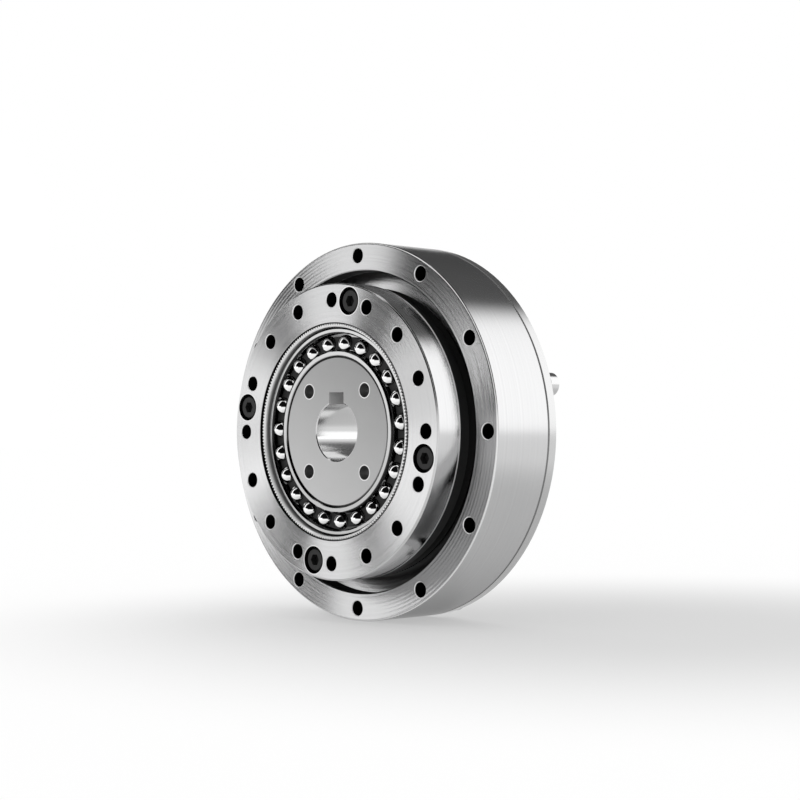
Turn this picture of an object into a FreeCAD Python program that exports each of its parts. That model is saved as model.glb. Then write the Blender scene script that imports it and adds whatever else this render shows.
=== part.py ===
import FreeCAD, Part
import math
import os

from FreeCAD import Matrix, Vector

# Strain wave gear unit with a crossed roller output bearing, in millimetres.
# The shaft axis is Y. The output face is the plane y = 0, it looks towards -Y, and +Z is up.
# A depth is a distance behind the output face. An angle runs from +X towards +Z.

# Teeth: heights are in modules, and the flexible rim has two teeth fewer than the rigid ring
module = 0.25
rim_teeth = 200
ring_teeth = rim_teeth + 2
addendum = 0.80
dedendum = 0.72
tooth_share = 0.46
flank_angle = 30.0
tooth_clearance = 0.08

# Flexspline: a toothed rim on a thin cup that flares into a bolted flange
rim_wall = 0.35
rim_setback = 0.2
rim_length = 10.8
rim_chamfer = 0.3
diaphragm_wall = 0.6
diaphragm_setback = 0.4
flare_radius = 2.5
flange_thickness = 3.0
flange_land = 8.0
flange_fillet = 0.4

# Wave generator: a keyed oval plug inside a thin ball bearing
race_gap = 0.2
outer_race_wall = 1.3
shoulder_gap = 0.02
inner_race_wall = 1.51
race_chamfer = 0.35
race_land = 0.04
groove_depth = 0.32
groove_ease = 0.15
bearing_setback = 1.45
bearing_width = 6.0
ball_diameter = 3.9
ball_count = 23
first_ball_angle = 84.14
cage_gap = 0.28
cage_lip = 0.1
cage_web = 0.8
pocket_gap = 0.15
plug_setback = 1.7
plug_thickness = 7.5
plug_chamfer = 0.3
boss_wall = 4.0
boss_length = 6.5
shaft_bore = 14.0
bore_chamfer = 0.2
key_width = 5.0
key_depth = 2.3
plug_hole = 3.3
plug_hole_edge = 4.0
plug_hole_count = 4
plug_hole_angle = 45.0

# Circular spline: the rigid toothed ring, with its bolt holes and locating spigot
spline_wall = 9.47
spline_thickness = 7.2
spline_chamfer = 0.4
mouth_depth = 1.2
mouth_gap = 0.12
mouth_chamfer = 0.1
spigot_wall = 3.27
spigot_length = 2.5
output_hole = 3.5
output_hole_count = 16
output_hole_edge = 4.0
hole_chamfer = 0.2
output_tap = 2.5
output_tap_depth = 8.0

# Crossed roller bearing: the outer ring's front pocket ends in a shoulder that covers the inner ring
cup_gap = 0.75
inner_ring_wall = 9.8
neck_step = 2.8
ring_gap = 0.4
outer_ring_wall = 8.6
ring_setback = 8.5
ring_width = 17.35
ring_chamfer = 0.4
seam_chamfer = 0.3
front_pocket_wall = 2.0
front_pocket_depth = 4.5
front_pocket_chamfer = 0.25
shoulder_thickness = 1.2
groove_land = 0.6
inner_ring_rear_gap = 1.0
rear_relief = 1.2
roller_diameter = 4.0
roller_length = 3.8
roller_chamfer = 0.3
roller_clearance = 0.1
roller_spacing = 0.2
groove_flat = 0.3
housing_hole = 3.5
housing_hole_count = 12
housing_hole_edge = 3.0

# Seals: a rubber ring on the neck of the inner ring, whose lip runs on the outer ring's shoulder
seal_gap = 0.2
seal_wall = 1.2
seal_lip_length = 2.2
seal_lip_root = 0.5
seal_lip_wall = 0.4
lip_clearance = 0.12
o_ring_section = 0.9
o_ring_side_gap = 0.2
o_ring_wall = 0.45

# Socket head screws
screw_diameter = 3.0
screw_head_diameter = 5.5
screw_head_height = 3.0
screw_socket = 2.5
screw_socket_depth = 1.5
screw_chamfer = 0.3
screw_room = 0.15
screw_count = 4
thread_gap = 0.05
tap_run_out = 1.0
head_room = 1.0
head_sink = 0.4
cap_screw_length = 18.0
cap_screw_angle = 78.75
flange_screw_length = 10.0
flange_screw_angle = 15.0

# Distance left between pieces that are pressed or seated together on curved faces
seat_gap = 0.02

# The wave: the radial rise of the oval, which stands upright, through the keyway
wave = module * (ring_teeth - rim_teeth) / 2
wave_angle = 90.0
rim_pitch = module * rim_teeth / 2
stretch = wave / rim_pitch

# Radii from the teeth inwards, as mean radii of the oval pieces
rim_tip = rim_pitch + addendum * module
rim_root = rim_pitch - dedendum * module
rim_bore = rim_root - rim_wall
outer_race_radius = rim_bore - race_gap
outer_shoulder = outer_race_radius - outer_race_wall
inner_shoulder = outer_shoulder - ball_diameter - 2 * shoulder_gap
ball_circle = (outer_shoulder + inner_shoulder) / 2
plug_radius = inner_shoulder - inner_race_wall
plug_hole_circle = plug_radius - plug_hole_edge
boss_radius = shaft_bore / 2 + boss_wall

# Ball grooves: arcs a little wider than the balls, let into the shoulders of the races
ball_groove_radius = ball_diameter / 2 + groove_ease
ball_groove_half = math.sqrt(ball_groove_radius**2 - (ball_groove_radius - groove_depth) ** 2)

# Radii from the teeth outwards
ring_tip = rim_root + wave + tooth_clearance
ring_root = rim_tip + wave + tooth_clearance
spline_radius = ring_root + spline_wall
output_hole_circle = spline_radius - output_hole_edge
spigot_radius = ring_root + spigot_wall
inner_ring_bore = rim_tip + wave + cup_gap
inner_ring_radius = inner_ring_bore + inner_ring_wall
neck_radius = inner_ring_radius - neck_step
outer_ring_bore = inner_ring_radius + ring_gap
roller_circle = inner_ring_radius + ring_gap / 2
front_pocket_radius = outer_ring_bore + front_pocket_wall
outer_radius = outer_ring_bore + outer_ring_wall
housing_hole_circle = outer_radius - housing_hole_edge
flange_bore = outer_radius - flange_land
o_ring_half_groove = o_ring_section / 2 + o_ring_side_gap
o_ring_circle = housing_hole_circle - housing_hole / 2 - o_ring_wall - o_ring_half_groove
roller_count = 2 * int(math.pi * roller_circle / (roller_diameter + roller_spacing))
screw_hole = screw_diameter + screw_room
screw_tap = screw_diameter + 2 * thread_gap
counterbore = screw_head_diameter + head_room

# Roller grooves: two flanks at right angles that touch the rollers, with a flat bottom
groove_reach = (roller_diameter / 2 + roller_clearance) * math.sqrt(2)
groove_mouth = groove_reach - ring_gap / 2
inner_groove = roller_circle - groove_reach + groove_flat
outer_groove = roller_circle + groove_reach - groove_flat

# Depths
rim_end = rim_setback + rim_length
ball_depth = bearing_setback + race_chamfer + race_land + ball_groove_half
bearing_end = bearing_setback + bearing_width
plug_end = plug_setback + plug_thickness
spigot_end = spline_thickness + spigot_length
shoulder_front = ring_setback + front_pocket_depth
shoulder_back = shoulder_front + shoulder_thickness
inner_ring_front_step = shoulder_back + ring_gap
roller_depth = inner_ring_front_step + ring_chamfer + groove_land + groove_mouth
ring_back = ring_setback + ring_width
flange_back = ring_back + flange_thickness
inner_ring_back = ring_back - inner_ring_rear_gap
counterbore_depth = screw_head_height + head_sink
cap_screw_end = counterbore_depth + cap_screw_length

shaft_axis = Vector(0, 1, 0)
turning_axis = Vector(0, -1, 0)


def at(radius, angle, depth=0.0):
    turn = math.radians(angle)
    return Vector(radius * math.cos(turn), depth, radius * math.sin(turn))


# Solid turned about the shaft axis. Each entry of the outline is a (radius, depth) corner, or a
# pair of them: a point that an arc passes through, then the corner where the arc ends. A straight
# line closes an outline that doesn't end where it starts.
def turned(*outline):
    start = Vector(*outline[0])
    here = start
    edges = []
    for entry in outline[1:]:
        if isinstance(entry[0], tuple):
            through, corner = (Vector(*point) for point in entry)
            edges.append(Part.Arc(here, through, corner).toShape())
        else:
            corner = Vector(*entry)
            edges.append(Part.makeLine(here, corner))
        here = corner
    if here != start:
        edges.append(Part.makeLine(here, start))
    face = Part.Face(Part.Wire(edges))
    return face.revolve(Vector(), shaft_axis, 360)


# The same solid pressed into the oval of the wave
def turned_oval(*outline):
    press = Matrix()
    press.A11 = 1 - stretch
    press.A33 = 1 + stretch
    return turned(*outline).transformGeometry(press)


def oval(radius, depth, rise=stretch):
    centre = Vector(0, depth, 0)
    top = Vector(0, depth, radius * (1 + rise))
    side = Vector(radius * (1 - rise), depth, 0)
    return Part.Wire(Part.Ellipse(top, side, centre).toShape())


def rod(radius, start, end, place=Vector()):
    foot = Vector(place.x, start, place.z)
    return Part.makeCylinder(radius, end - start, foot, shaft_axis)


def angles(count, first=0.0):
    return [first + 360.0 * step / count for step in range(count)]


def holes(diameter, start, end, circle, places):
    return [rod(diameter / 2, start, end, at(circle, angle)) for angle in places]


# Countersunk mouths of a circle of holes, on a face that looks towards -Y
def mouths(diameter, depth, circle, places):
    wide = diameter / 2 + hole_chamfer
    return [
        Part.makeCone(wide, diameter / 2, hole_chamfer, at(circle, angle, depth), shaft_axis)
        for angle in places
    ]


def spun(shape, angle):
    copy = shape.copy()
    copy.rotate(Vector(), turning_axis, angle)
    return copy


def tooth_half(height):
    half_pitch_width = tooth_share * math.pi * module / 2
    return half_pitch_width - height * math.tan(math.radians(flank_angle))


# Teeth of the flexible rim, carried on the wave: each is lifted, slides along the rim so that the
# rim keeps its length, and leans with the curve.
def rim_outline(depth):
    corners = []
    foot = -dedendum * module
    tip = addendum * module
    profile = ((foot, -1), (tip, -1), (tip, 1), (foot, 1))
    for angle in angles(rim_teeth):
        phase = 2 * math.radians(angle - wave_angle)
        radius = rim_pitch + wave * math.cos(phase)
        place = angle - math.degrees(stretch / 2 * math.sin(phase))
        lean = place + math.degrees(2 * stretch * math.sin(phase))
        for height, side in profile:
            across = at(side * tooth_half(height), lean + 90)
            corners.append(at(radius, place, depth) + at(height, lean) + across)
    return Part.makePolygon(corners + corners[:1])


# Spaces of the rigid ring: the tooth at the top of the wave, widened by the clearance
def ring_outline(depth):
    corners = []
    spread = tooth_clearance / math.cos(math.radians(flank_angle))
    profile = ((ring_tip, -1), (ring_root, -1), (ring_root, 1), (ring_tip, 1))
    half_pitch = 180.0 / ring_teeth
    for angle in angles(ring_teeth, half_pitch):
        for radius, side in profile:
            half = tooth_half(radius - rim_pitch - wave) + spread
            corners.append(at(radius, angle + side * math.degrees(half / radius), depth))
    return Part.makePolygon(corners + corners[:1])


def flexspline():
    rim_face = Part.Face([rim_outline(rim_setback), oval(rim_bore, rim_setback)])
    rim = rim_face.extrude(Vector(0, rim_length, 0))
    rim_flare = turned_oval(
        (0, rim_setback),
        (rim_bore + rim_chamfer, rim_setback),
        (rim_bore, rim_setback + rim_chamfer),
        (0, rim_setback + rim_chamfer),
    )
    cup_outside = rim_bore + rim_wall
    diaphragm = ring_back + diaphragm_setback
    diaphragm_back = diaphragm + diaphragm_wall
    flare_start = diaphragm - flare_radius
    flare_edge = cup_outside + flare_radius
    cup_skins = [
        Part.makeLoft([oval(radius, rim_end), oval(radius, flare_start, 0.0)], True, True)
        for radius in (cup_outside, rim_bore)
    ]
    cup = cup_skins[0].cut(cup_skins[1])
    slant = math.sqrt(0.5)
    outside_bend = flare_radius * slant
    inside_bend = (flare_radius + (rim_wall + diaphragm_wall) / 2) * slant
    fillet_bend = flange_fillet * (1 - slant)
    brim = turned(
        (rim_bore, flare_start),
        (cup_outside, flare_start),
        ((flare_edge - outside_bend, flare_start + outside_bend), (flare_edge, diaphragm)),
        (flange_bore, diaphragm),
        (flange_bore, ring_back),
        (outer_radius - seam_chamfer, ring_back),
        (outer_radius, ring_back + seam_chamfer),
        (outer_radius, flange_back - ring_chamfer),
        (outer_radius - ring_chamfer, flange_back),
        (flange_bore, flange_back),
        (flange_bore, diaphragm_back + flange_fillet),
        (
            (flange_bore - fillet_bend, diaphragm_back + fillet_bend),
            (flange_bore - flange_fillet, diaphragm_back),
        ),
        (flare_edge, diaphragm_back),
        ((flare_edge - inside_bend, flare_start + inside_bend), (rim_bore, flare_start)),
    )
    through = (ring_back - 1, flange_back + 1, housing_hole_circle)
    bolt_holes = holes(housing_hole, *through, angles(housing_hole_count))
    screw_holes = holes(screw_hole, *through, angles(screw_count, flange_screw_angle))
    return rim.cut(rim_flare).fuse([cup, brim.cut(bolt_holes + screw_holes)])


def circular_spline():
    body = turned(
        (0, 0),
        (spline_radius - spline_chamfer, 0),
        (spline_radius, spline_chamfer),
        (spline_radius, spline_thickness),
        (spigot_radius, spline_thickness),
        (spigot_radius, spigot_end),
        (0, spigot_end),
    )
    toothed_bore = Part.Face(ring_outline(0)).extrude(Vector(0, spigot_end, 0))
    mouth_radius = ring_root + mouth_gap
    mouth = turned(
        (0, 0),
        (mouth_radius + mouth_chamfer, 0),
        (mouth_radius, mouth_chamfer),
        (mouth_radius, mouth_depth),
        (0, mouth_depth),
    )
    hole_places = angles(output_hole_count)
    screw_places = angles(screw_count, cap_screw_angle)
    cuts = [toothed_bore, mouth]
    cuts += holes(output_hole, 0, spline_thickness, output_hole_circle, hole_places)
    cuts += mouths(output_hole, 0, output_hole_circle, hole_places)
    cuts += holes(screw_hole, 0, spline_thickness, output_hole_circle, screw_places)
    cuts += holes(counterbore, 0, counterbore_depth, output_hole_circle, screw_places)
    return body.cut(cuts)


def inner_ring_front():
    recess = spigot_radius + seat_gap
    body = turned(
        (recess, spline_thickness),
        (neck_radius, spline_thickness),
        (neck_radius, inner_ring_front_step),
        (inner_ring_radius - ring_chamfer, inner_ring_front_step),
        (inner_ring_radius, inner_ring_front_step + ring_chamfer),
        (inner_ring_radius, roller_depth - groove_mouth),
        (inner_groove, roller_depth - groove_flat),
        (inner_groove, roller_depth),
        (inner_ring_bore, roller_depth),
        (inner_ring_bore, spigot_end),
        (recess, spigot_end),
    )
    screw_places = angles(screw_count, cap_screw_angle)
    tap_end = spline_thickness + output_tap_depth
    taps = holes(output_tap, spline_thickness, tap_end, output_hole_circle, angles(output_hole_count))
    screws = holes(screw_hole, spline_thickness, roller_depth, output_hole_circle, screw_places)
    return body.cut(taps + screws)


def inner_ring_rear():
    body = turned(
        (inner_ring_bore, roller_depth),
        (inner_groove, roller_depth),
        (inner_groove, roller_depth + groove_flat),
        (inner_ring_radius, roller_depth + groove_mouth),
        (inner_ring_radius, inner_ring_back - ring_chamfer),
        (inner_ring_radius - ring_chamfer, inner_ring_back),
        (inner_ring_bore, inner_ring_back),
    )
    screw_places = angles(screw_count, cap_screw_angle)
    tap_end = cap_screw_end + tap_run_out
    return body.cut(holes(screw_tap, roller_depth, tap_end, output_hole_circle, screw_places))


def outer_ring():
    body = turned(
        (front_pocket_radius + front_pocket_chamfer, ring_setback),
        (outer_radius - ring_chamfer, ring_setback),
        (outer_radius, ring_setback + ring_chamfer),
        (outer_radius, ring_back - seam_chamfer),
        (outer_radius - seam_chamfer, ring_back),
        (o_ring_circle + o_ring_half_groove, ring_back),
        (o_ring_circle + o_ring_half_groove, ring_back - o_ring_section),
        (o_ring_circle - o_ring_half_groove, ring_back - o_ring_section),
        (o_ring_circle - o_ring_half_groove, ring_back),
        (outer_ring_bore + rear_relief, ring_back),
        (outer_ring_bore, ring_back - rear_relief),
        (outer_ring_bore, roller_depth + groove_mouth),
        (outer_groove, roller_depth + groove_flat),
        (outer_groove, roller_depth - groove_flat),
        (outer_ring_bore, roller_depth - groove_mouth),
        (outer_ring_bore, shoulder_back),
        (neck_radius + ring_gap, shoulder_back),
        (neck_radius + ring_gap, shoulder_front),
        (front_pocket_radius, shoulder_front),
        (front_pocket_radius, ring_setback + front_pocket_chamfer),
    )
    bolt_places = angles(housing_hole_count)
    screw_places = angles(screw_count, flange_screw_angle)
    tap_start = flange_back - flange_screw_length - tap_run_out
    cuts = holes(housing_hole, ring_setback, ring_back, housing_hole_circle, bolt_places)
    cuts += mouths(housing_hole, ring_setback, housing_hole_circle, bolt_places)
    cuts += holes(screw_tap, tap_start, ring_back, housing_hole_circle, screw_places)
    return body.cut(cuts)


# Every other roller is crossed: its axis leans forward, and the next one's leans back
def rollers(side):
    lean = Vector(1, side, 0).normalize()
    foot = Vector(roller_circle, roller_depth, 0) - lean * (roller_length / 2)
    roller = Part.makeCylinder(roller_diameter / 2, roller_length, foot, lean)
    roller = roller.makeChamfer(roller_chamfer, [edge for edge in roller.Edges if edge.Closed])
    first = 0.0 if side > 0 else 360.0 / roller_count
    return Part.makeCompound([spun(roller, angle) for angle in angles(roller_count // 2, first)])


def lip_seal():
    inside = neck_radius + seat_gap
    outside = neck_radius + seal_wall
    front = spline_thickness + seal_gap
    tip = shoulder_front - lip_clearance
    lip_start = tip - seal_lip_length
    return turned(
        (inside, front),
        (outside, front),
        (outside, lip_start),
        (inside + seal_lip_root, lip_start + seal_lip_root),
        (outside, tip),
        (outside - seal_lip_wall, tip),
        (inside, lip_start + 2 * seal_lip_root),
    )


def o_ring():
    section = o_ring_section / 2 - seat_gap
    centre = Vector(0, ring_back - o_ring_section / 2, 0)
    return Part.makeTorus(o_ring_circle, section, centre, shaft_axis)


# Bearing race from its back wall to its shoulder, with a groove for the balls on the shoulder side
def race(back, shoulder, side):
    front = bearing_setback
    end = bearing_end
    chamfer = race_chamfer
    groove_bottom = shoulder + side * groove_depth
    return turned_oval(
        (back, front + chamfer),
        (back - side * chamfer, front),
        (shoulder + side * chamfer, front),
        (shoulder, front + chamfer),
        (shoulder, ball_depth - ball_groove_half),
        ((groove_bottom, ball_depth), (shoulder, ball_depth + ball_groove_half)),
        (shoulder, end - chamfer),
        (shoulder + side * chamfer, end),
        (back - side * chamfer, end),
        (back, end - chamfer),
    )


def ball_angles():
    return angles(ball_count, first_ball_angle)


# Round pocket of the cage at angle 0: a half disc that starts in the open front, turned about a radius
def pocket(radius):
    centre = Vector(ball_circle, ball_depth, 0)
    inner_end = centre - Vector(radius, 0, 0)
    outer_end = centre + Vector(radius, 0, 0)
    arc = Part.Arc(inner_end, centre - Vector(0, radius, 0), outer_end).toShape()
    half_disc = Part.Face(Part.Wire([arc, Part.makeLine(outer_end, inner_end)]))
    return half_disc.revolve(centre, Vector(1, 0, 0), 360)


# Crown cage: a web behind the balls, with fingers that reach round them and leave them open in front
def ball_cage():
    ball_room = ball_diameter / 2 + pocket_gap
    inside = inner_shoulder * (1 + stretch) + cage_gap
    outside = outer_shoulder * (1 - stretch) - cage_gap
    front = ball_depth - cage_lip
    back = ball_depth + ball_room + cage_web
    ring = turned((inside, front), (outside, front), (outside, back), (inside, back))
    return ring.cut([spun(pocket(ball_room), angle) for angle in ball_angles()])


def wave_plug():
    blank = Part.Face(oval(plug_radius, plug_setback)).extrude(Vector(0, plug_thickness, 0))
    rims = [edge for edge in blank.Edges if edge.Closed]
    blank = blank.makeChamfer(plug_chamfer, rims)
    boss = rod(boss_radius, plug_end, plug_end + boss_length)
    bore_end = plug_end + boss_length
    bore = shaft_bore / 2
    flare = Part.makeCone(bore + bore_chamfer, bore, bore_chamfer, at(0, 0, plug_setback), shaft_axis)
    key_top = bore + key_depth
    key_corner = Vector(-key_width / 2, plug_setback, 0)
    keyway = Part.makeBox(key_width, bore_end - plug_setback, key_top, key_corner)
    hole_places = angles(plug_hole_count, plug_hole_angle)
    cuts = [rod(bore, plug_setback, bore_end), flare, keyway]
    cuts += holes(plug_hole, plug_setback, plug_end, plug_hole_circle, hole_places)
    return blank.fuse(boss).removeSplitter().cut(cuts)


# Socket head screw along +Y, with the seat of its head at the origin
def socket_screw(length):
    head = screw_head_diameter / 2
    shank = screw_diameter / 2
    body = turned(
        (0, -screw_head_height),
        (head - screw_chamfer, -screw_head_height),
        (head, screw_chamfer - screw_head_height),
        (head, 0),
        (shank, 0),
        (shank, length - screw_chamfer),
        (shank - screw_chamfer, length),
        (0, length),
    )
    corner = screw_socket / math.sqrt(3)
    hexagon = [at(corner, angle, -screw_head_height) for angle in angles(6)]
    socket = Part.Face(Part.makePolygon(hexagon + hexagon[:1]))
    return body.cut(socket.extrude(Vector(0, screw_socket_depth, 0)))


def cap_screw(angle):
    screw = socket_screw(cap_screw_length)
    screw.translate(at(output_hole_circle, angle, counterbore_depth))
    return screw


def flange_screw(angle):
    screw = socket_screw(flange_screw_length)
    screw.rotate(Vector(), Vector(0, 0, 1), 180)
    screw.translate(at(housing_hole_circle, angle, flange_back))
    return screw


def build():
    pieces = {
        "outer_ring": outer_ring(),
        "flexspline": flexspline(),
        "lip_seal": lip_seal(),
        "flange_o_ring": o_ring(),
        "circular_spline": circular_spline(),
        "inner_ring_front": inner_ring_front(),
        "inner_ring_rear": inner_ring_rear(),
        "rollers_leaning_forward": rollers(-1),
        "rollers_leaning_back": rollers(1),
        "wave_plug": wave_plug(),
        "flex_bearing_inner_race": race(plug_radius + seat_gap, inner_shoulder, -1),
        "flex_bearing_outer_race": race(outer_race_radius, outer_shoulder, 1),
        "ball_cage": ball_cage(),
    }
    for number, angle in enumerate(ball_angles(), 1):
        place = at(ball_circle, angle, ball_depth)
        pieces[f"ball_{number:02d}"] = Part.makeSphere(ball_diameter / 2, place)
    for number, angle in enumerate(angles(screw_count, cap_screw_angle), 1):
        pieces[f"cap_screw_{number}"] = cap_screw(angle)
    for number, angle in enumerate(angles(screw_count, flange_screw_angle), 1):
        pieces[f"flange_screw_{number}"] = flange_screw(angle)
    return pieces


os.makedirs("parts", exist_ok=True)
for name, shape in build().items():
    shape.exportStep(f"parts/{name}.step")
    print(name, len(shape.Solids), "solid", round(shape.Volume, 2), "mm3", shape.isValid())
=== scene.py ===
import math

import bmesh
import bpy
import numpy as np
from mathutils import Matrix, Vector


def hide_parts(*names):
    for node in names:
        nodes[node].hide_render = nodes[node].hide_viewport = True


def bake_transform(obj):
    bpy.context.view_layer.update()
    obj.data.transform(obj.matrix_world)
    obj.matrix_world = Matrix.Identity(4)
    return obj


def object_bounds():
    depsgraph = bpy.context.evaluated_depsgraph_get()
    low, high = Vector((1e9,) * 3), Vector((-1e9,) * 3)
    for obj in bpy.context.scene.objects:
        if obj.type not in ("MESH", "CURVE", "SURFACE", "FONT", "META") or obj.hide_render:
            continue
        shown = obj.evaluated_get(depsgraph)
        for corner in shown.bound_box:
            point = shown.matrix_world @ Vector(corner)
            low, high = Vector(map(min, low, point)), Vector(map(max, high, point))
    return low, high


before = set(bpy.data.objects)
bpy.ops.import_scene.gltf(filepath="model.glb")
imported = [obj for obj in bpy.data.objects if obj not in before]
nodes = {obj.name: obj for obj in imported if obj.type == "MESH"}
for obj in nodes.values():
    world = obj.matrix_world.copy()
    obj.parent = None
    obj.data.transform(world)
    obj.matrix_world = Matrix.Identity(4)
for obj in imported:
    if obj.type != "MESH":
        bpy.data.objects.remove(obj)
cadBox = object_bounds()  # the gear unit as it came from CAD, in metres
mm = 0.001
degrees = 180 / math.pi
shaftAxis = (0, 1, 0)  # from the output face into the unit
softEdge = 0.02  # half the width of the border between two finishes, in millimetres
# The wall margin also bounds the painted shade in the holes and the painted highlight at their mouths
wallMargin = 0.035  # a wall's own finish ends this far past the wall, in millimetres
print("loaded", len(nodes), "nodes")


# Shader maths: a wire is one socket of a node tree, and arithmetic on it adds Math nodes there
class Wire:
    def __init__(self, tree, socket=None):
        self.tree = tree
        self.socket = socket

    # any node: its type, its settings, then the values or wires of its sockets
    def node(self, kind, settings=None, sockets=None, output=0):
        made = self.tree.nodes.new(kind)
        for name, value in (settings or {}).items():
            setattr(made, name, value)
        for name, value in (sockets or {}).items():
            if isinstance(value, Wire):
                self.tree.links.new(value.socket, made.inputs[name])
            else:
                made.inputs[name].default_value = value
        return Wire(self.tree, made.outputs[output] if made.outputs else None)

    def output(self, name):  # another output of the same node
        return Wire(self.tree, self.socket.node.outputs[name])

    def maths(self, operation, *values):
        return self.node("ShaderNodeMath", {"operation": operation}, dict(enumerate(values)))

    def vector(self, operation, *values, output="Vector"):
        return self.node("ShaderNodeVectorMath", {"operation": operation}, dict(enumerate(values)), output)

    def scaled(self, vector, factor):
        return self.node("ShaderNodeVectorMath", {"operation": "SCALE"}, {0: vector, "Scale": factor})

    def __add__(self, other):
        return self.maths("ADD", self, other)

    def __sub__(self, other):
        return self.maths("SUBTRACT", self, other)

    def __rsub__(self, other):
        return self.maths("SUBTRACT", other, self)

    def __mul__(self, other):
        return self.maths("MULTIPLY", self, other)

    def __truediv__(self, other):
        return self.maths("DIVIDE", self, other)

    def __abs__(self):
        return self.maths("ABSOLUTE", self)

    __radd__ = __add__
    __rmul__ = __mul__

    def most(self, other):  # the larger of the two
        return self.maths("MAXIMUM", self, other)

    def rise(self, low, high):  # 0 below low, 1 above high, smooth between them
        ramp = {"Value": self, "From Min": low, "From Max": high}
        return self.node("ShaderNodeMapRange", {"interpolation_type": "SMOOTHSTEP"}, ramp)

    def past(self, edge, soft=softEdge):  # 0 before an edge, 1 past it
        return self.rise(edge - soft, edge + soft)

    def before(self, edge, soft=softEdge):  # 1 before an edge, 0 past it
        return 1 - self.past(edge, soft)

    def within(self, low, high, soft=softEdge):  # 1 between two edges
        return self.past(low, soft) * self.before(high, soft)

    def between(self, low, high):  # number that goes from low to high as the wire goes from 0 to 1
        return low + self * (high - low)

    def blend(self, dark, light):  # colour that goes from dark to light as the wire goes from 0 to 1
        return self.node("ShaderNodeMix", {"data_type": "RGBA"}, {0: self, 6: dark, 7: light}, 2)

    def shade(self, blue=1.0):  # grey of this level, with its blue changed
        return self.node("ShaderNodeCombineColor", sockets={0: self, 1: self, 2: self * blue})


def grey(level):
    return (level, level, level, 1)


# Camera: the view that was fitted to the hole circles, in degrees, metres and pixels
cameraFit = {
    "azimuth": 47.41,
    "elevation": -0.17,
    "distance": 0.41797,
    "aimRight": 2.224,
    "aimUp": 1.018,
    "focalPixels": 1777.17,
    "framePixels": 800,
    "sensor": 36.0,
    "clipStart": 0.01,
}


def unit(vector):
    return vector / np.linalg.norm(vector)


def placeCamera(fit):
    azimuth, elevation, aimRight, aimUp = (
        math.radians(fit[name]) for name in ("azimuth", "elevation", "aimRight", "aimUp")
    )
    upright = (0, 0, 1)
    sight = unit(np.array([math.sin(azimuth), -math.cos(azimuth), math.tan(elevation)]))  # towards the camera
    right = unit(np.cross(-sight, upright))
    up = np.cross(right, -sight)
    forward = unit(-sight + math.tan(aimRight) * right + math.tan(aimUp) * up)
    side = unit(np.cross(forward, upright))
    matrix = np.eye(4)
    matrix[:3] = np.stack([side, np.cross(side, forward), -forward, sight * fit["distance"]], -1)
    lens = bpy.data.cameras.new("camera")
    lens.sensor_width = fit["sensor"]
    lens.lens = fit["focalPixels"] / fit["framePixels"] * fit["sensor"]
    lens.clip_start = fit["clipStart"]
    camera = bpy.data.objects.new("camera", lens)
    camera.matrix_world = matrix.T.tolist()
    bpy.context.scene.collection.objects.link(camera)
    bpy.context.scene.camera = camera


placeCamera(cameraFit)
bpy.context.scene.view_settings.view_transform = "Standard"
print("camera placed")


# Studio panels: level, then the ranges and soft edges of azimuth and elevation in degrees; azimuth
# runs from the front face towards +X
studio = {
    "plain": 1.0,
    "dark": 0.004,
    "panels": {
        "horizonLeft": (1.42, (-125, -53, 5), (-95, 11.5, 5)),
        "horizonRight": (1.42, (-53, -3, 5), (-95, 15.5, 5)),
        "strip": (1.18, (-63, -42.5, 3), (-95, 95, 5)),
        "backdrop": (1.00, (-200, -95, 6), (-95, 17, 3)),
        "backdropRight": (1.00, (155, 200, 6), (-95, 17, 3)),
        "wall": (1.00, (-200, 200, 6), (-95, 9, 3)),
        "rightBox": (1.56, (84, 126, 6), (-4, 61, 7)),
        "sideBox": (1.56, (114, 173, 9), (-4, 45, 7)),
        "ceilingRight": (0.13, (95, 200, 10), (35, 95, 8)),
        "ceilingLeft": (0.13, (-200, -110, 10), (10, 95, 5)),
    },
}


# Plain light for matt surfaces. The camera, metal and glass see the studio: white panels in a dark room.
def lightStudio(s):
    world = bpy.data.worlds.new("studio")
    bpy.context.scene.world = world
    world.use_nodes = True
    world.cycles.sampling_method = "NONE"
    world.node_tree.nodes.clear()
    start = Wire(world.node_tree)
    towards = start.node("ShaderNodeTexCoord", output="Generated")
    axes = start.node("ShaderNodeSeparateXYZ", sockets={0: towards})
    elevation = start.maths("ARCSINE", axes.output("Z")) * degrees
    azimuth = start.maths("ARCTAN2", axes.output("X"), 0 - axes.output("Y")) * degrees
    lit = s["dark"]
    for level, across, up in s["panels"].values():
        panel = azimuth.within(*across) * elevation.within(*up) * level
        lit = panel.most(lit)
    rays = start.node("ShaderNodeLightPath")
    seen = rays.output("Is Camera Ray") + rays.output("Is Glossy Ray") + rays.output("Is Transmission Ray")
    strength = start.maths("MINIMUM", seen, 1) * (lit - s["plain"]) + s["plain"]
    light = start.node("ShaderNodeBackground", sockets={"Color": grey(1), "Strength": strength})
    start.node("ShaderNodeOutputWorld", sockets={"Surface": light})


lightStudio(studio)
print("studio lit")


# A material starts empty; what varies feeds only the sockets that can be baked
def newMaterial(name):
    made = bpy.data.materials.new(name)
    made.use_nodes = True
    made.node_tree.nodes.clear()
    return made, Wire(made.node_tree)


def closeMaterial(start, **sockets):
    named = {name.replace("_", " "): value for name, value in sockets.items()}
    shader = start.node("ShaderNodeBsdfPrincipled", sockets=named)
    start.node("ShaderNodeOutputMaterial", sockets={"Surface": shader})


def dress(material, *names):
    for name in names:
        nodes[name].material_slots[0].material = material


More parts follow.
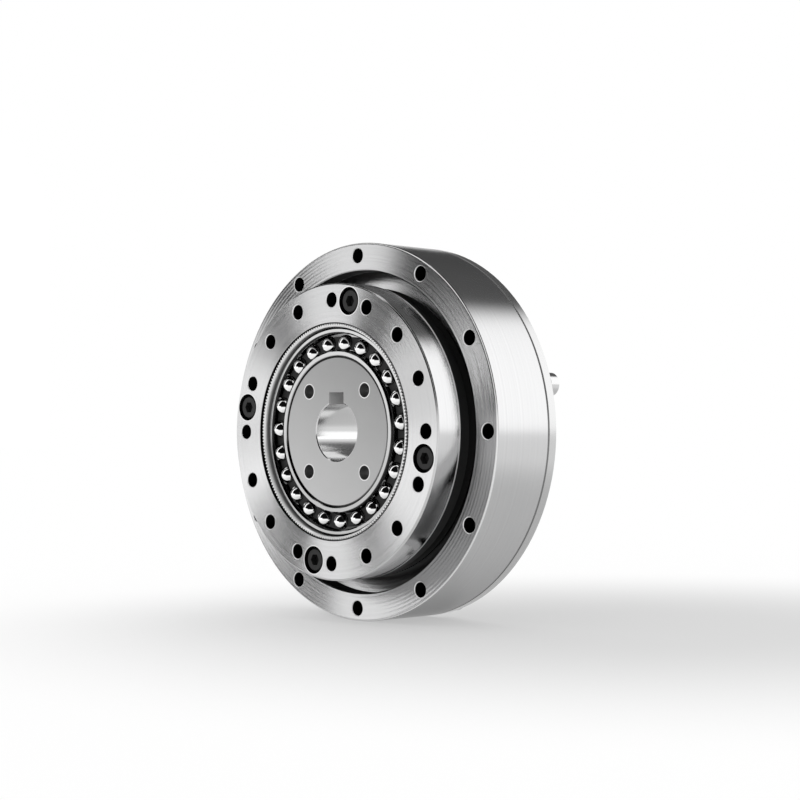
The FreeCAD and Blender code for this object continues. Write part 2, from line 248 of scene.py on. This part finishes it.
# Where a point of a piece is, in millimetres and degrees about the shaft axis
def turnedPlace(start):
    point = start.scaled(start.node("ShaderNodeTexCoord", output="Object"), 1 / mm)
    axes = start.node("ShaderNodeSeparateXYZ", sockets={0: point})
    x, depth, z = (axes.output(name) for name in "XYZ")
    radius = start.maths("SQRT", x * x + z * z)
    turn = start.maths("ARCTAN2", z, x) * degrees
    return {"point": point, "x": x, "depth": depth, "z": z, "radius": radius, "turn": turn}


# Distance to the axis of the nearest of a circle of holes, with the angle folded into one step
def fromHole(start, place, circle, count, first):
    step = 360 / count
    folded = start.maths("FRACT", (place["turn"] - first) / step + 0.5) - 0.5
    folded = folded * math.radians(step)
    across = place["radius"] * start.maths("SINE", folded)
    along = place["radius"] * start.maths("COSINE", folded) - circle
    return start.maths("SQRT", across * across + along * along)


# Mean radius of the upright oval of the wave through a point; the oval rises by this share of it
def ovalRadius(start, place, rise=0.01):
    x = place["x"] / (1 - rise)
    z = place["z"] / (1 + rise)
    return start.maths("SQRT", x * x + z * z)


noiseDetail = {"cloud": 4, "grain": 2, "line": 2}  # octaves


# Soft clouds over a piece, from minus a half to a half
def clouds(start, place, s):
    noise = {"Vector": place["point"], "Scale": s["cloudScale"], "Detail": noiseDetail["cloud"]}
    return start.node("ShaderNodeTexNoise", sockets=noise) - 0.5


# Normal that leans by a shift: their sum, brought back to the length of one
def leaned(start, normal, shift):
    return start.vector("NORMALIZE", start.vector("ADD", normal, shift))


# Normal of a finely grained surface that leans by a shift
def grainNormal(start, place, s, shift):
    noise = {"Vector": place["point"], "Scale": s["grainScale"], "Detail": noiseDetail["grain"]}
    grain = start.node("ShaderNodeTexNoise", sockets=noise)
    normal = leaned(start, start.node("ShaderNodeNewGeometry", output="Normal"), shift)
    bump = {"Height": grain, "Strength": s["grainStrength"], "Distance": s["grainHeight"] * mm}
    return start.node("ShaderNodeBump", sockets={**bump, "Normal": normal})


# Lean of the grooves that the tool left, each by its own amount. On a face they lean outwards above a
# split and inwards below it; the split is level at the left and climbs at the right, and the lean ripples
# most at the upper left and the lower right. On the outside of a ring they lean to the front, but for a
# dip below the middle.
def grooveLean(start, place, track, facing, s):
    height = place["z"] / place["radius"]
    sideways = place["x"] / place["radius"]
    groove = start.maths("FLOOR", track / s["groovePitch"])
    draw, doubt = (
        start.node("ShaderNodeTexWhiteNoise", {"noise_dimensions": "1D"}, {"W": groove + offset})
        for offset in s["drawOffsets"]
    )
    split = math.radians(s["leanSplit"])
    upper = height * math.cos(split) - sideways.most(0) * math.sin(split)
    side = start.maths("SIGN", upper + (doubt - 0.5) * s["leanSoft"])
    slant = (height * sideways * -2).most(0)
    wave = start.maths("SINE", track * (2 * math.pi / s["ripplePitch"]))
    ripple = 1 + wave * (slant * slant).between(*s["ripple"])
    fall = s["leanMean"] - height * s["leanDrop"]
    onFace = side * facing * draw.between(*s["lean"]) * ripple * fall
    dipEnd, dipFade, dipFull, dipStart = s["dipHeights"]
    dip = height.rise(dipEnd, dipFade) * (1 - height.rise(dipFull, dipStart)) * draw.between(*s["dip"])
    onSide = draw.between(*s["sideLean"]) - dip
    return onFace + (1 - abs(facing)) * onSide


# Normal of a turned ring: it leans across the grooves where they are kept. An outside wall is exactly
# round, also at the seam of its mesh, so there it starts from the direction away from the shaft axis.
def turnedNormal(start, place, track, keep, s):
    toWorld = {"vector_type": "VECTOR", "convert_from": "OBJECT", "convert_to": "WORLD"}
    away = start.vector("NORMALIZE", start.vector("MULTIPLY", place["point"], (1, 0, 1)))
    away = start.node("ShaderNodeVectorTransform", toWorld, {0: away})
    normal = start.node("ShaderNodeNewGeometry", output="Normal")
    wall = start.vector("DOT_PRODUCT", normal, away, output="Value").rise(*s["wallCosine"])
    normal = start.node("ShaderNodeMix", {"data_type": "VECTOR"}, {0: wall, 4: normal, 5: away}, 1)
    facing = start.vector("DOT_PRODUCT", normal, shaftAxis, output="Value")
    around = start.vector("CROSS_PRODUCT", shaftAxis, away)
    across = start.vector("CROSS_PRODUCT", around, normal)
    lean = grooveLean(start, place, track, facing, s) * keep
    return leaned(start, normal, start.scaled(across, lean))


# Bright steel with turning lines, painted shade in hole walls and pocket, painted highlight on edges and
# mouths
def turnedSteel(name, s):
    made, start = newMaterial(name)
    place = turnedPlace(start)
    radius, depth = place["radius"], place["depth"]
    edgeRadius, edgeDepth = s["edge"]
    # Painted highlight: the outer front edge is coloured pale
    light = radius.past(edgeRadius) * depth.before(edgeDepth)
    pocketRadius, pocketDepth = s["pocket"]
    # Painted shade: the pocket, or the spline's toothed bore, is coloured dark
    dark = radius.before(pocketRadius) * depth.before(pocketDepth)
    for circle, count, first, hole in s["holes"]:
        away = fromHole(start, place, circle, count, first)
        # Painted highlight: a pale ring around each hole mouth
        mouth = away.within(hole + wallMargin, hole + s["mouth"]) * depth.before(s["face"] + s["mouthDepth"])
        # Painted shade: the hole walls are coloured dark
        dark = dark.most(away.before(hole + wallMargin))
        light = light.most(mouth)
    track = radius + depth
    noise = {"W": track, "Scale": s["lineScale"], "Detail": noiseDetail["line"]}
    lines = start.node("ShaderNodeTexNoise", {"noise_dimensions": "1D"}, noise) - 0.5
    cloud = clouds(start, place, s)
    level = s["level"] * (1 + lines * s["lineDepth"] + cloud * s["cloudDepth"])
    # Colour: painted highlight over painted shade over the steel's own turning lines and clouds
    colour = light.blend(dark.blend(level.shade(s["blue"]), grey(s["paintedShadeLevel"])), grey(s["paintedHighlightLevel"]))
    seamRadius, seamDepth = s["seam"]
    seam = radius.past(seamRadius) * depth.past(seamDepth)
    closeMaterial(
        start,
        Base_Color=colour,
        # Edges and mouths under the painted highlight are less metallic, and so is the seam beside the
        # housing
        Metallic=1 - light.most(seam) * s["highlightAndSeamMatt"],
        Roughness=s["roughness"] + cloud * s["roughnessRange"] + dark * s["darkRoughness"],
        Normal=turnedNormal(start, place, track, (1 - light) * (1 - dark), s),
        Specular_Tint=grey(s["grazing"]),
    )
    return made


# Output ring and bearing outer ring, in millimetres and degrees; edge, seam and pocket are a radius and a
# depth, and holes are circle radius, count, first angle and hole radius. The painted highlight lies past the
# edge and at the hole mouths, and the painted shade inside the pocket and the holes.
turnedFinish = {
    "level": 0.60,
    "blue": 1.005,
    "roughness": 0.17,
    "roughnessRange": 0.04,
    "grazing": 0.6,
    "lineScale": 1.6,
    "lineDepth": 0.10,
    "cloudScale": 0.08,
    "cloudDepth": 0.05,
    "groovePitch": 0.004,
    "drawOffsets": (0.0, 0.37),  # of the two random draws of each groove
    "lean": (0.15, 0.30),
    "leanMean": 1.20,
    "leanDrop": 0.22,
    "dipHeights": (-0.78, -0.64, -0.52, 0.05),  # as shares of the radius
    "ripplePitch": 0.85,
    "wallCosine": (0.99, 0.995),  # a surface that looks outwards by this much is an outside wall
    "mouth": 0.20,
    "mouthDepth": 0.23,
    "paintedShadeLevel": 0.02,
    "darkRoughness": 0.35,
    "paintedHighlightLevel": 0.86,
    "highlightAndSeamMatt": 0.8,
}
splineFinish = {
    **turnedFinish,
    "face": 0.0,
    "edge": (34.8, 0.24),
    "seam": (34.65, 6.8),
    "pocket": (25.69, 12.0),
    "leanSplit": 40,
    "leanSoft": 0.5,
    "sideLean": (0.24, 0.36),
    "dip": (0.30, 0.70),
    "ripple": (0.0, 0.0),
    "holes": [(31.0, 16, 0.0, 1.75), (31.0, 4, 78.75, 3.25)],
}
housingFinish = {
    **turnedFinish,
    "face": 8.5,
    "edge": (44.72, 8.78),
    "seam": (44.65, 25.56),
    "pocket": (38.43, 12.96),
    "leanSplit": 18,
    "leanSoft": 0.6,
    "sideLean": (0.0, 0.0),
    "dip": (0.0, 0.0),
    "ripple": (0.05, 0.20),
    "holes": [(42.0, 12, 0.0, 1.75)],
}
dress(turnedSteel("turnedSpline", splineFinish), "circular_spline")
dress(turnedSteel("turnedHousing", housingFinish), "outer_ring")
print("turned steel dressed")


# Plain metal and moulded pieces: base level, gloss and a fine grain. With lands, painted shade darkens
# everything but these rings of the front faces.
def grainedSurface(name, s):
    made, start = newMaterial(name)
    place = turnedPlace(start)
    cloud = clouds(start, place, s)
    level = s["level"] * (1 + cloud * s["cloudDepth"])
    if "lands" in s:
        radius = ovalRadius(start, place)
        lands = sum(radius.within(low, high) for low, high in s["lands"])
        # Painted shade: off the lands the level falls to this share
        level = level * lands.between(s["paintedShadeShare"], 1)
    closeMaterial(
        start,
        Base_Color=level.shade(),
        Metallic=s["metallic"],
        Roughness=s["roughness"] + cloud * s["roughnessRange"],
        Normal=grainNormal(start, place, s, (0, 0, s["upLean"])),
        Specular_IOR_Level=s["specular"],
    )
    return made


grainFinish = {
    "metallic": 1.0,
    "specular": 0.5,
    "roughnessRange": 0.06,
    "cloudScale": 0.15,
    "cloudDepth": 0.08,
    "grainScale": 6.0,
    "grainStrength": 0.1,
    "grainHeight": 0.02,
    "upLean": 0.0,  # brings the edge of the dark room lower in the reflection
}
moulded = {**grainFinish, "level": 0.012, "metallic": 0.0, "specular": 0.25, "roughness": 0.45}
finishes = {
    "groundSteel": {**grainFinish, "level": 0.5, "roughness": 0.25},
    "raceSteel": {
        **grainFinish,
        "level": 0.52,
        "roughness": 0.16,
        "paintedShadeShare": 0.06,
        "lands": [(17.75, 18.75), (23.25, 23.98)],
    },
    "ballChrome": {
        **grainFinish,
        "level": 0.90,
        "roughness": 0.03,
        "roughnessRange": 0.01,
        "grainStrength": 0.01,
        "upLean": 0.24,
    },
    "blackOxide": {**grainFinish, "level": 0.02, "roughness": 0.35, "metallic": 0.3, "specular": 0.25},
    "brightScrew": {**grainFinish, "level": 0.62, "roughness": 0.15},
    "cageNylon": moulded,
    "sealRubber": moulded,
}


def piecesCalled(prefix):
    return [name for name in nodes if name.startswith(prefix)]


dressed = {
    "groundSteel": piecesCalled("rollers") + piecesCalled("inner_ring"),
    "raceSteel": piecesCalled("flex_bearing"),
    "ballChrome": [name for name in piecesCalled("ball_") if name != "ball_cage"],
    "blackOxide": piecesCalled("cap_screw"),
    "brightScrew": piecesCalled("flange_screw"),
    "cageNylon": ["ball_cage"],
    "sealRubber": ["lip_seal", "flange_o_ring"],
}
for finish, pieces in dressed.items():
    dress(grainedSurface(finish, finishes[finish]), *pieces)
print("other finishes dressed")


# Wave plug, in millimetres: matt steel with a polished bore, a rough keyway, and painted shade in the screw
# holes and at the outer edge, with a painted highlight at the hole mouths. The painted shade slope is how the
# level falls along x, y and z, darker towards the right and the top, and the marks in the bore lean between
# the two heights of the dip.
plugFinish = {
    "matt": 0.41,
    "paintedShadeSlope": (0.007, 0.0, 0.013),
    "mattMetallic": 0.80,
    "mattRoughness": 0.40,
    "bright": 0.66,
    "brightRoughness": 0.16,
    "boreRadius": 7.2,
    "boreDip": (-5.0, -1.5),
    "boreDipSoft": 0.5,
    "boreLean": 0.32,
    "keyLevel": 0.42,
    "keyHalf": 2.5,
    "keyFoot": 6.42,
    "keyTop": 9.3,
    "edgeRadius": 17.2,
    "edgeDepth": 2.0,
    "paintedHoleAndEdgeShade": 0.22,
    "holes": (13.52, 4, 45.0),
    "holeRadius": 1.65,
    "mouth": 0.24,
    "paintedMouthHighlight": 0.8,
    "cloudScale": 0.2,
    "cloudDepth": 0.06,
    "grainScale": 9.0,
    "grainStrength": 0.15,
    "grainHeight": 0.02,
}


def plugSteel(s):
    made, start = newMaterial("plugSteel")
    place = turnedPlace(start)
    x, z = place["x"], place["z"]
    key = abs(x).before(s["keyHalf"] + wallMargin) * z.within(s["keyFoot"], s["keyTop"] + wallMargin)
    bore = place["radius"].before(s["boreRadius"] + wallMargin) * (1 - key)
    away = fromHole(start, place, *s["holes"])
    # Painted shade: the screw hole walls are coloured dark
    hole = away.before(s["holeRadius"] + wallMargin)
    # Painted highlight: a pale ring around each hole mouth
    mouth = away.within(s["holeRadius"] + wallMargin, s["holeRadius"] + s["mouth"])
    # Painted shade: a dark line at the outer edge, beside the race
    edge = ovalRadius(start, place).past(s["edgeRadius"]) * place["depth"].before(s["edgeDepth"])
    cloud = clouds(start, place, s)
    # Painted shade: the level falls towards the right and the top
    paintedShadeSlope = start.vector("DOT_PRODUCT", place["point"], s["paintedShadeSlope"], output="Value")
    level = s["matt"] * (1 + cloud * s["cloudDepth"] - paintedShadeSlope)
    colour = bore.blend(key.blend(level.shade(), grey(s["keyLevel"])), grey(s["bright"]))
    # Painted shade in the holes and at the edge, painted highlight at the hole mouths
    colour = mouth.blend(hole.most(edge).blend(colour, grey(s["paintedHoleAndEdgeShade"])), grey(s["paintedMouthHighlight"]))
    lean = bore * z.within(*s["boreDip"], s["boreDipSoft"]) * s["boreLean"]
    closeMaterial(
        start,
        Base_Color=colour,
        Metallic=bore.between(s["mattMetallic"], 1) * (1 - key),
        Roughness=bore.between(s["mattRoughness"], s["brightRoughness"]),
        Normal=grainNormal(start, place, s, start.scaled(shaftAxis, lean)),
    )
    return made


dress(plugSteel(plugFinish), "wave_plug")
print("plug dressed")


# Flexspline, in millimetres: satin steel with a painted highlight that makes the front edge pale and matt,
# and painted shade, dull and darker, inside the rim where it faces the bearing and in the seam beside the
# housing
springFinish = {
    "level": 0.58,
    # painted shade level inside the rim and in the seam
    "dark": 0.20,
    "seam": (25.84, 26.16),
    "seamRadius": 44.67,
    "fillet": (36.5, 37.1),
    "dull": 0.75,
    "paintedFrontHighlight": 0.80,
    "frontHighlightDepth": (0.5, 1.3),
    "roughness": 0.18,
    "roughnessRange": 0.06,
    "rimRadius": 24.76,
    "rimDepth": (9.0, 12.0),
    "cloudScale": 0.15,
    "cloudDepth": 0.08,
    "grainScale": 6.0,
    "grainStrength": 0.1,
    "grainHeight": 0.02,
}


def springSteel(s):
    made, start = newMaterial("springSteel")
    place = turnedPlace(start)
    radius, depth = place["radius"], place["depth"]
    # Painted shade: inside the rim, where it faces the bearing
    inside = ovalRadius(start, place).before(s["rimRadius"]) * (1 - depth.rise(*s["rimDepth"]))
    # Painted shade: in the seam beside the housing
    seam = depth.within(*s["seam"]) * radius.past(s["seamRadius"])
    dark = inside.most(seam)
    # Painted highlight: the front edge and tooth ends are coloured pale and made matt
    paintedFrontHighlight = 1 - depth.rise(*s["frontHighlightDepth"])
    dull = paintedFrontHighlight.most(radius.within(*s["fillet"]))
    cloud = clouds(start, place, s)
    level = s["level"] * (1 + cloud * s["cloudDepth"])
    closeMaterial(
        start,
        Base_Color=paintedFrontHighlight.blend(dark.blend(level.shade(), grey(s["dark"])), grey(s["paintedFrontHighlight"])),
        Metallic=1 - dark.most(dull) * s["dull"],
        Roughness=s["roughness"] + cloud * s["roughnessRange"],
        Normal=grainNormal(start, place, s, (0, 0, 0)),
    )
    return made


# Shape of the flexspline in millimetres: its toothed rim lies in the oval of the wave, and the oval fades
# along the thin cup, so that the flange stays round
rimShape = {
    "module": 0.25,
    "teeth": 200,
    "addendum": 0.80,
    "dedendum": 0.72,
    "toothShare": 0.46,
    "flankAngle": 30.0,
    "wall": 0.35,
    "front": 0.2,
    "chamfer": 0.3,
    "back": 11.0,
    "flareStart": 23.75,
    "cupRows": 48,
    "weld": 0.0001,
    "cutMargin": 0.01,
    "sharpAngle": 25.0,
}


# Ellipse whose half axes are radius times one minus and one plus the rise, at the given angles
def ovalPoints(radius, rise, turn):
    return np.stack([radius * (1 - rise) * np.cos(turn), radius * (1 + rise) * np.sin(turn)], -1)


# Tooth outline: each tooth is four corners in its own frame, lifted by the wave's cosine, slid along
# the rim by half the sine and leaned by twice the sine of double the angle
def toothOutline(s, pitchRadius, wave):
    angle = np.arange(s["teeth"])[:, None] * 2 * math.pi / s["teeth"]
    phase = 2 * angle - math.pi
    place = angle - wave / pitchRadius / 2 * np.sin(phase)
    lean = place + 2 * wave / pitchRadius * np.sin(phase)
    lift = pitchRadius + wave * np.cos(phase)
    height = np.array([-s["dedendum"], s["addendum"], s["addendum"], -s["dedendum"]]) * s["module"]
    half = s["toothShare"] * math.pi * s["module"] / 2 - height * math.tan(math.radians(s["flankAngle"]))
    across = half * np.array([-1, -1, 1, 1])
    x = lift * np.cos(place) + height * np.cos(lean) - across * np.sin(lean)
    z = lift * np.sin(place) + height * np.sin(lean) + across * np.cos(lean)
    return np.stack([x, z], -1).reshape(-1, 2)


# Closed tube: rows run forward along the inside of cup and rim, out over the rim's front, back along
# the teeth and the outside of the cup; columns follow the tooth corners
def rimAndCup(s):
    pitchRadius = s["module"] * s["teeth"] / 2
    wave = s["module"]
    stretch = wave / pitchRadius
    root = pitchRadius - s["dedendum"] * s["module"]
    bore = root - s["wall"]
    outline = toothOutline(s, pitchRadius, wave)
    turn = np.arctan2(outline[:, 1] / (1 + stretch), outline[:, 0] / (1 - stretch))
    fade = np.linspace(0, 1, s["cupRows"])
    depths = s["back"] + (s["flareStart"] - s["back"]) * fade
    inside = [ovalPoints(bore, stretch * (1 - share), turn) for share in fade]
    outside = [ovalPoints(root, stretch * (1 - share), turn) for share in fade]
    edge = [ovalPoints(bore, stretch, turn), ovalPoints(bore + s["chamfer"], stretch, turn)]
    rows = np.array(inside[::-1] + edge + [outline, outline] + outside)
    front = [s["front"] + s["chamfer"], s["front"], s["front"], s["back"]]
    rowDepths = np.concatenate([depths[::-1], front, depths])
    depth = np.broadcast_to(rowDepths[:, None], rows.shape[:2])
    return np.stack([rows[..., 0], depth, rows[..., 1]], -1) * mm


# Quads of a grid that closes on itself both ways
def closedQuads(rows, columns):
    index = np.arange(rows * columns).reshape(rows, columns)
    nextRow = np.roll(index, -1, 0)
    corners = [index, nextRow, np.roll(nextRow, -1, 1), np.roll(index, -1, 1)]
    return np.stack(corners, -1).reshape(-1, 4)


# Body: the flange is a merged copy of the node's mesh, cut where the cup starts to flare and closed there,
# and the tube of rim and cup stands on it
def flexspline(s):
    bm = bmesh.new()
    bm.from_mesh(nodes["flexspline"].data)
    bmesh.ops.remove_doubles(bm, verts=bm.verts, dist=s["weld"] * mm)
    cut = (s["flareStart"] - s["cutMargin"]) * mm
    bmesh.ops.delete(bm, geom=[v for v in bm.verts if v.co.y < cut], context="VERTS")
    bmesh.ops.bridge_loops(bm, edges=[e for e in bm.edges if e.is_boundary])
    bmesh.ops.recalc_face_normals(bm, faces=bm.faces)
    flange = bpy.data.meshes.new("flexsplineFlange")
    bm.to_mesh(flange)
    bm.free()
    count = len(flange.vertices)
    corners = np.empty(count * 3)
    flange.vertices.foreach_get("co", corners)
    faces = [list(p.vertices) for p in flange.polygons]
    grid = rimAndCup(s)
    points = np.concatenate([corners.reshape(-1, 3), grid.reshape(-1, 3)])
    faces += (closedQuads(*grid.shape[:2]) + count).tolist()
    mesh = bpy.data.meshes.new("flexspline_body")
    mesh.from_pydata(points.tolist(), [], faces)
    mesh.shade_smooth()
    mesh.set_sharp_from_angle(angle=math.radians(s["sharpAngle"]))
    mesh.materials.append(springSteel(springFinish))
    body = bpy.data.objects.new("flexspline_body", mesh)
    bpy.context.scene.collection.objects.link(body)
    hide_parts("flexspline")
    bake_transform(body)
    print("flexspline has", len(points), "points")


flexspline(rimShape)


# Floor in metres: a light table, level with the housing's lowest edge, white but for a painted shadow, a
# darker patch behind the unit
floorFinish = {
    "glow": 0.40,
    "paintedShadowLevel": 0.32,
    "far": 0.60,
    "paintedShadowCentre": (0.055, 0.045),
    "paintedShadowFade": (0.03, 0.17),
    "radius": 8.0,
    "centreRadius": 0.02,
    "rings": 24,
    "sides": 96,
}


def paleFloor(s, level):
    made, start = newMaterial("paleFloor")
    point = start.node("ShaderNodeTexCoord", output="Object")
    away = start.vector("DISTANCE", point, (*s["paintedShadowCentre"], level), output="Value")
    closeMaterial(
        start,
        # Painted shadow: darker near its centre behind the unit, white further away
        Base_Color=away.rise(*s["paintedShadowFade"]).blend(grey(s["paintedShadowLevel"]), grey(s["far"])),
        Roughness=1.0,
        Specular_IOR_Level=0.0,
        Emission_Color=grey(s["glow"]),
        Emission_Strength=1.0,
    )
    return made


# Disc of rings: radius grows by equal steps of its logarithm, and the first ring is closed by one face
def layFloor(s):
    level = cadBox[0][2]
    turn = np.linspace(0, 2 * math.pi, s["sides"], endpoint=False)
    rings = np.geomspace(s["centreRadius"], s["radius"], s["rings"])
    x = np.outer(rings, np.cos(turn))
    y = np.outer(rings, np.sin(turn))
    points = np.stack([x, y, np.full_like(x, level)], -1).reshape(-1, 3)
    index = np.arange(points.shape[0]).reshape(x.shape)
    ahead = np.roll(index, -1, 1)
    quads = np.stack([index[:-1], index[1:], ahead[1:], ahead[:-1]], -1).reshape(-1, 4)
    mesh = bpy.data.meshes.new("floor")
    mesh.from_pydata(points.tolist(), [], quads.tolist() + [index[0].tolist()])
    mesh.materials.append(paleFloor(s, level))
    floor = bpy.data.objects.new("floor", mesh)
    bpy.context.scene.collection.objects.link(floor)


layFloor(floorFinish)
print("floor laid")
